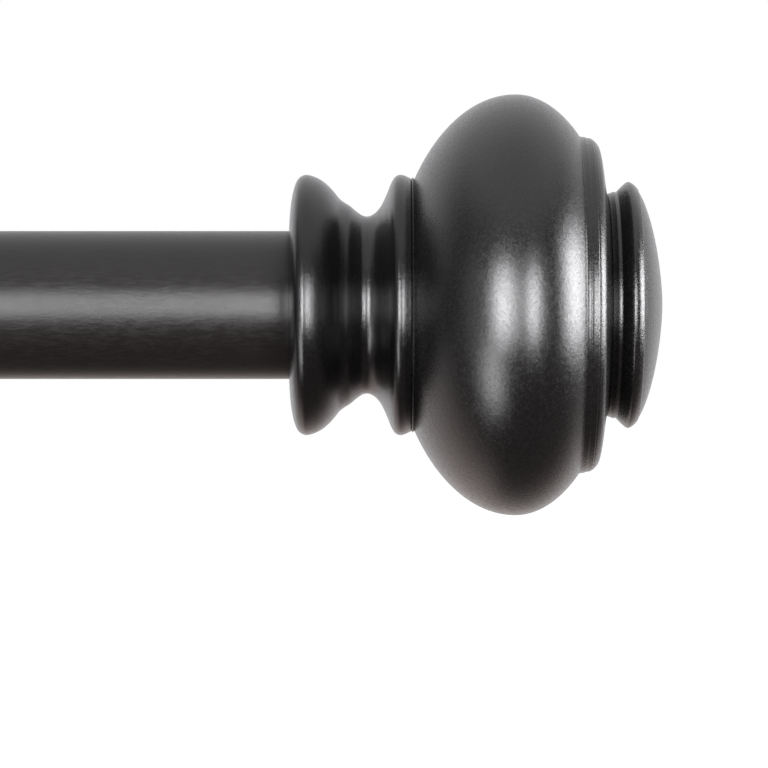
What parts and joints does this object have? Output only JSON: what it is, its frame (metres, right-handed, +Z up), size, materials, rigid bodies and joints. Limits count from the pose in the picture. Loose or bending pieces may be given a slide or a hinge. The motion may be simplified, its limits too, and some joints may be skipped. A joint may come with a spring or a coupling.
{
  "type": "curtain rod with brackets",
  "caption": "Telescoping curtain rod with turned ball finials, held in open cups on adjustable wall brackets.",
  "frame": {"origin": "middle of the right wall plate's back face, on the wall", "axes": "+X along the rod towards the right finial, +Y into the wall, +Z up"},
  "size_m": [0.8895, 0.1633, 0.0987],
  "materials": {
    "rod_paint": "smooth satin gunmetal paint with a faint ripple",
    "finial_paint": "satin gunmetal paint over a finely pitted casting",
    "bracket_paint": "satin gunmetal paint",
    "knob_paint": "satin gunmetal paint on a knurled knob",
    "zinc_steel": "zinc-plated steel thread",
    "black_plastic": "moulded, slightly matt",
    "white_plastic": "moulded, slightly matt"
  },
  "bodies": {
    "right_wall_bracket": {"wall_plate_right": "bracket_paint", "arm_socket_right": "bracket_paint", "wall_screw_right_upper": "zinc_steel", "wall_screw_right_lower": "zinc_steel", "wall_anchor_right_upper": "white_plastic", "wall_anchor_right_lower": "white_plastic"},
    "left_wall_bracket": {"wall_plate_left": "bracket_paint", "arm_socket_left": "bracket_paint", "wall_screw_left_upper": "zinc_steel", "wall_screw_left_lower": "zinc_steel", "wall_anchor_left_upper": "white_plastic", "wall_anchor_left_lower": "white_plastic"},
    "right_arm": {"arm_right": "bracket_paint", "cup_right": "bracket_paint", "cup_bolt_right": "zinc_steel"},
    "right_arm_lock_shank": {"arm_lock_shank_right": "zinc_steel"},
    "right_arm_lock_knob": {"arm_lock_knob_right": "knob_paint"},
    "right_rod_lock_shank": {"rod_lock_shank_right": "zinc_steel"},
    "right_rod_lock_knob": {"rod_lock_knob_right": "knob_paint"},
    "right_finial_stud": {"finial_stud_right": "zinc_steel"},
    "right_finial": {"finial_neck_right": "finial_paint", "finial_bulb_right": "finial_paint", "finial_collar_right": "finial_paint", "finial_button_right": "finial_paint"},
    "left_arm": {"arm_left": "bracket_paint", "cup_left": "bracket_paint", "cup_bolt_left": "zinc_steel"},
    "left_arm_lock_shank": {"arm_lock_shank_left": "zinc_steel"},
    "left_arm_lock_knob": {"arm_lock_knob_left": "knob_paint"},
    "left_rod_lock_shank": {"rod_lock_shank_left": "zinc_steel"},
    "left_rod_lock_knob": {"rod_lock_knob_left": "knob_paint"},
    "left_finial_stud": {"finial_stud_left": "zinc_steel"},
    "left_finial": {"finial_neck_left": "finial_paint", "finial_bulb_left": "finial_paint", "finial_collar_left": "finial_paint", "finial_button_left": "finial_paint", "reducer_sleeve": "black_plastic"},
    "outer_rod": {"outer_tube": "rod_paint", "end_plug_right": "black_plastic", "glide_collar": "black_plastic"},
    "inner_rod": {"inner_tube": "rod_paint", "end_plug_left": "black_plastic", "guide_ring": "black_plastic"}
  },
  "joints": [
    {"name": "arm_reach", "type": "slide", "parent": "right_wall_bracket", "child": "right_arm", "axis": [0, -1, 0], "range_m": [0, 0.022]},
    {"name": "rod_lift", "type": "slide", "parent": "right_arm", "child": "outer_rod", "axis": [0, 0, 1], "range_m": [0, 0.045]},
    {"name": "rod_extend", "type": "slide", "parent": "outer_rod", "child": "inner_rod", "axis": [-1, 0, 0], "range_m": [-0.051, 0.457]},
    {"name": "left_cup_from_rod", "type": "slide", "parent": "inner_rod", "child": "left_arm", "axis": [0, 0, -1], "range_m": [0, 0.045]},
    {"name": "left_arm_reach", "type": "slide", "parent": "left_arm", "child": "left_wall_bracket", "axis": [0, 1, 0], "range_m": [0, 0.022]},
    {"name": "right_arm_lock_travel", "type": "slide", "parent": "right_wall_bracket", "child": "right_arm_lock_shank", "axis": [0, 0, -1], "range_m": [0, 0.0032]},
    {"name": "right_arm_lock_turn", "type": "hinge", "parent": "right_arm_lock_shank", "child": "right_arm_lock_knob", "pos_m": [0, -0.038, 0], "axis": [0, 0, -1], "range_deg": [0, 1440]},
    {"name": "right_rod_lock_travel", "type": "slide", "parent": "right_arm", "child": "right_rod_lock_shank", "axis": [0, -1, 0], "range_m": [0, 0.0032]},
    {"name": "right_rod_lock_turn", "type": "hinge", "parent": "right_rod_lock_shank", "child": "right_rod_lock_knob", "pos_m": [0, -0.092, 0.0205], "axis": [0, -1, 0], "range_deg": [0, 1440]},
    {"name": "right_finial_travel", "type": "slide", "parent": "outer_rod", "child": "right_finial_stud", "axis": [1, 0, 0], "range_m": [0, 0.012]},
    {"name": "right_finial_turn", "type": "hinge", "parent": "right_finial_stud", "child": "right_finial", "pos_m": [0.1, -0.092, 0.0205], "axis": [1, 0, 0], "range_deg": [0, 4320]},
    {"name": "left_arm_lock_travel", "type": "slide", "parent": "left_wall_bracket", "child": "left_arm_lock_shank", "axis": [0, 0, -1], "range_m": [0, 0.0032]},
    {"name": "left_arm_lock_turn", "type": "hinge", "parent": "left_arm_lock_shank", "child": "left_arm_lock_knob", "pos_m": [-0.617, -0.038, 0.0017], "axis": [0, 0, -1], "range_deg": [0, 1440]},
    {"name": "left_rod_lock_travel", "type": "slide", "parent": "left_arm", "child": "left_rod_lock_shank", "axis": [0, -1, 0], "range_m": [0, 0.0032]},
    {"name": "left_rod_lock_turn", "type": "hinge", "parent": "left_rod_lock_shank", "child": "left_rod_lock_knob", "pos_m": [-0.617, -0.092, 0.0222], "axis": [0, -1, 0], "range_deg": [0, 1440]},
    {"name": "left_finial_travel", "type": "slide", "parent": "inner_rod", "child": "left_finial_stud", "axis": [-1, 0, 0], "range_m": [0, 0.012]},
    {"name": "left_finial_turn", "type": "hinge", "parent": "left_finial_stud", "child": "left_finial", "pos_m": [-0.662, -0.092, 0.0205], "axis": [-1, 0, 0], "range_deg": [0, 4320]}
  ],
  "couplings": [
    {"joint": "left_cup_from_rod", "follows": "rod_lift", "ratio": 1},
    {"joint": "left_arm_reach", "follows": "arm_reach", "ratio": 1},
    {"joint": "right_arm_lock_travel", "follows": "right_arm_lock_turn", "m_per_rad": 0.00012732},
    {"joint": "right_rod_lock_travel", "follows": "right_rod_lock_turn", "m_per_rad": 0.00012732},
    {"joint": "right_finial_travel", "follows": "right_finial_turn", "m_per_rad": 0.00015915},
    {"joint": "left_arm_lock_travel", "follows": "left_arm_lock_turn", "m_per_rad": 0.00012732},
    {"joint": "left_rod_lock_travel", "follows": "left_rod_lock_turn", "m_per_rad": 0.00012732},
    {"joint": "left_finial_travel", "follows": "left_finial_turn", "m_per_rad": 0.00015915}
  ]
}
